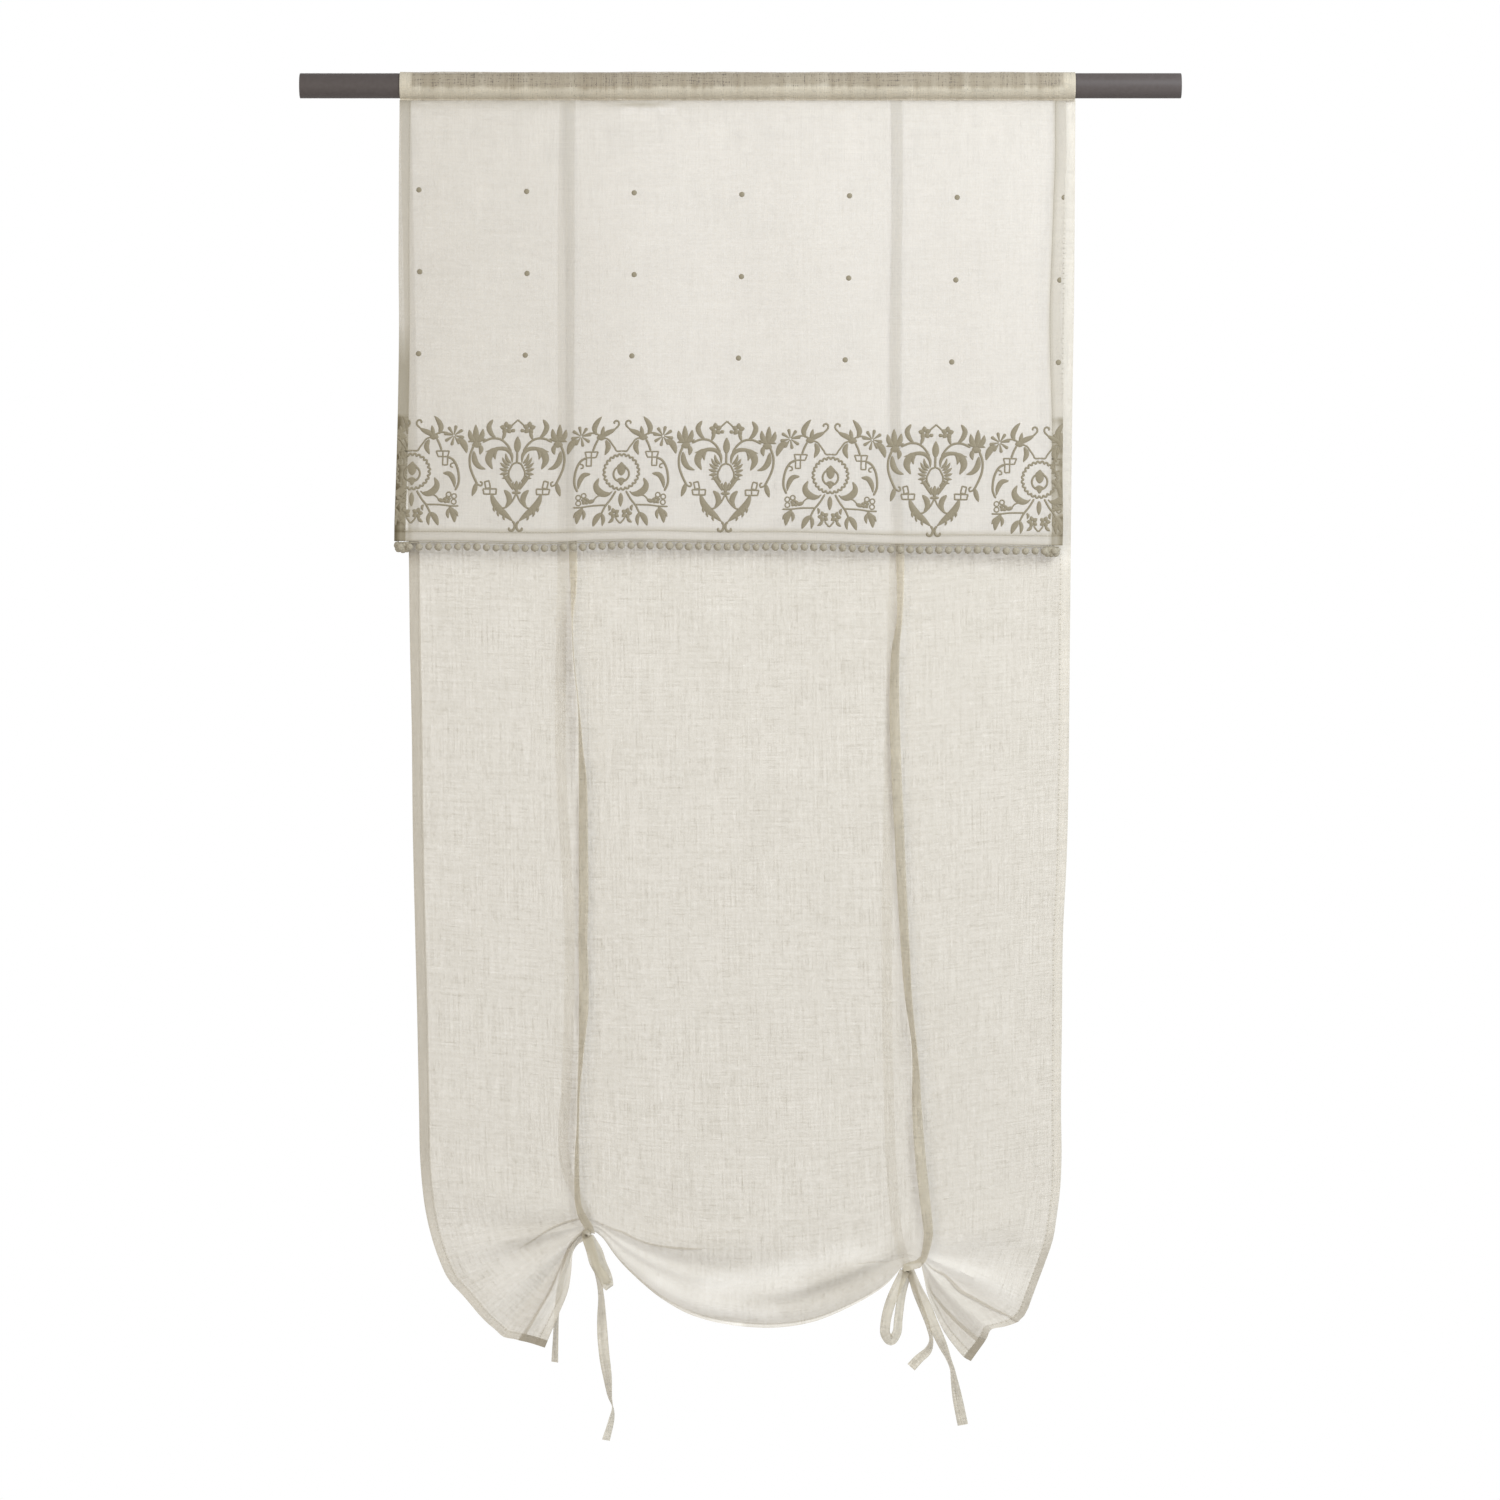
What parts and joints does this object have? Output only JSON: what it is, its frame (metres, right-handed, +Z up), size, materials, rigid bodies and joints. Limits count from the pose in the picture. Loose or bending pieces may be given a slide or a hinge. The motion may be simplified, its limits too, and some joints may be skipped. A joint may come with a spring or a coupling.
{
  "type": "cafe curtain on rod",
  "caption": "Sheer cafe curtain on a round rod, with a short embroidered valance, pompom trim and tape ties that gather its hem into a swag and two wings.",
  "frame": {"origin": "on the rod's axis, halfway along the rod", "axes": "+X along the rod to the right as seen from the front, +Z up, and the front of the curtain faces -Y"},
  "size_m": [0.914, 0.0339, 1.4231],
  "materials": {
    "rod_paint": "dark brown-grey satin paint",
    "panel_cloth": "sheer linen-look plain weave, off-white",
    "valance_cloth": "sheer linen-look plain weave, slightly paler",
    "yarn": "matt cotton yarn, khaki beige",
    "tape_cloth": "the curtain's cloth folded to a narrow tape"
  },
  "bodies": {
    "root": {"rod": "rod_paint", "heading": "panel_cloth", "main_panel": "panel_cloth", "valance": "valance_cloth", "pompom_trim": "yarn", "tie_front_left": "tape_cloth", "tie_front_right": "tape_cloth", "tie_back_left": "tape_cloth", "tie_back_right": "tape_cloth", "bow_left": "tape_cloth", "bow_right": "tape_cloth"}
  },
  "joints": []
}
